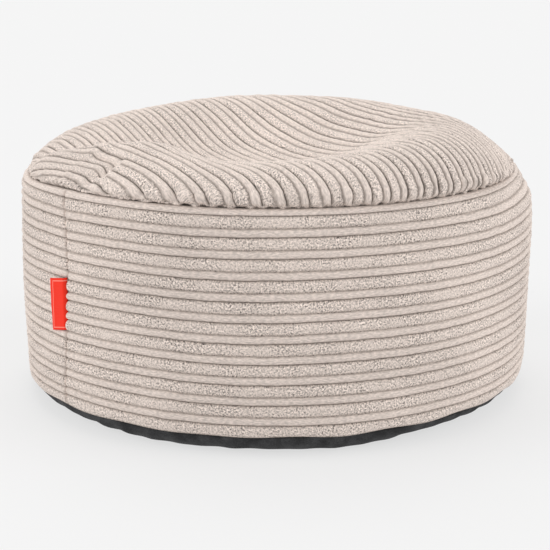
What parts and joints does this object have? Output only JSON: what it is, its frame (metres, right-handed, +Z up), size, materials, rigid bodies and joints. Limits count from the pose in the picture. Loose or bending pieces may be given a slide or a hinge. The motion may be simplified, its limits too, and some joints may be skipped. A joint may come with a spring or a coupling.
{
  "type": "floor pouf",
  "caption": "Low round floor pouf in ribbed cord fabric, a filled drum with a crowned top that dips in the middle and a plain dark base.",
  "frame": {"origin": "middle of the flat underside, on the surface that the pouf stands on", "axes": "+Z up through the top; the front faces -Y, and the vertical join with the label is at the front left (-X, -Y)"},
  "size_m": [0.6, 0.6, 0.3162],
  "materials": {
    "side_cord": "matt jumbo cord in warm light beige, horizontal ribs",
    "top_cord": "matt jumbo cord in warm light beige, diagonal ribs",
    "base_cloth": "matt plain charcoal cloth",
    "label_tape": "matt woven red tape, folded"
  },
  "bodies": {
    "root": {"side_panel": "side_cord", "top_panel": "top_cord", "base_panel": "base_cloth", "label": "label_tape"}
  },
  "joints": []
}
